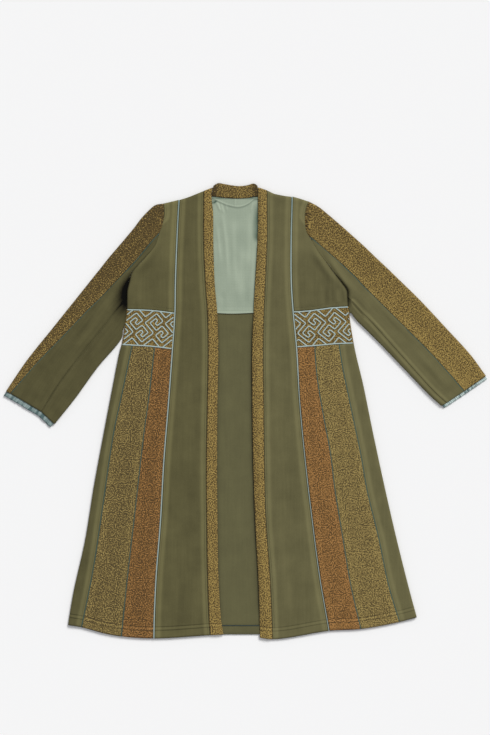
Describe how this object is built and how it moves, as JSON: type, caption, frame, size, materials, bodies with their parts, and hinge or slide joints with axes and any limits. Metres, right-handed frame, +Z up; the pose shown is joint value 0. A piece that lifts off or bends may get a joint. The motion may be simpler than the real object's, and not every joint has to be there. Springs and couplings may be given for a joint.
{
  "type": "embroidered coat laid flat",
  "caption": "Long open-front coat laid flat, with tweed neckband, flared gores, fret-embroidered waistbands, piped princess seams, yoke lining and frilled cuffs.",
  "frame": {"origin": "on the floor, under the middle of the coat's box as seen from above", "axes": "+Z up out of the coat's front, +Y towards the neck, +X to the right as seen from above, towards the wearer's left sleeve"},
  "size_m": [1.2132, 1.1398, 0.0089],
  "materials": {
    "olive_fleece": "matte brushed fleece",
    "ochre_tweed": "flecked jersey tweed, matte",
    "mustard_tweed": "flecked jersey tweed, matte",
    "rust_tweed": "flecked jersey tweed, matte",
    "sage_lining": "plain woven lining, slight sheen",
    "pale_cord": "soft braided cord",
    "aqua_ribbon": "crinkled ribbon, slight sheen"
  },
  "bodies": {
    "root": {"front_panel_left": "olive_fleece", "front_panel_right": "olive_fleece", "side_front_left": "olive_fleece", "side_front_right": "olive_fleece", "side_gore_left": "olive_fleece", "side_gore_right": "olive_fleece", "sleeve_front_left": "olive_fleece", "sleeve_front_right": "olive_fleece", "sleeve_back_left": "olive_fleece", "sleeve_back_right": "olive_fleece", "neckband_left": "ochre_tweed", "neckband_right": "ochre_tweed", "waistband_left": "ochre_tweed", "waistband_right": "ochre_tweed", "sleeve_top_left": "ochre_tweed", "sleeve_top_right": "ochre_tweed", "mustard_gore_left": "mustard_tweed", "mustard_gore_right": "mustard_tweed", "rust_gore_left": "rust_tweed", "rust_gore_right": "rust_tweed", "piping_left": "pale_cord", "piping_right": "pale_cord", "cuff_frill_left": "aqua_ribbon", "cuff_frill_right": "aqua_ribbon", "back_panel": "olive_fleece", "back_lining": "sage_lining", "neckband_back": "ochre_tweed"}
  },
  "joints": []
}
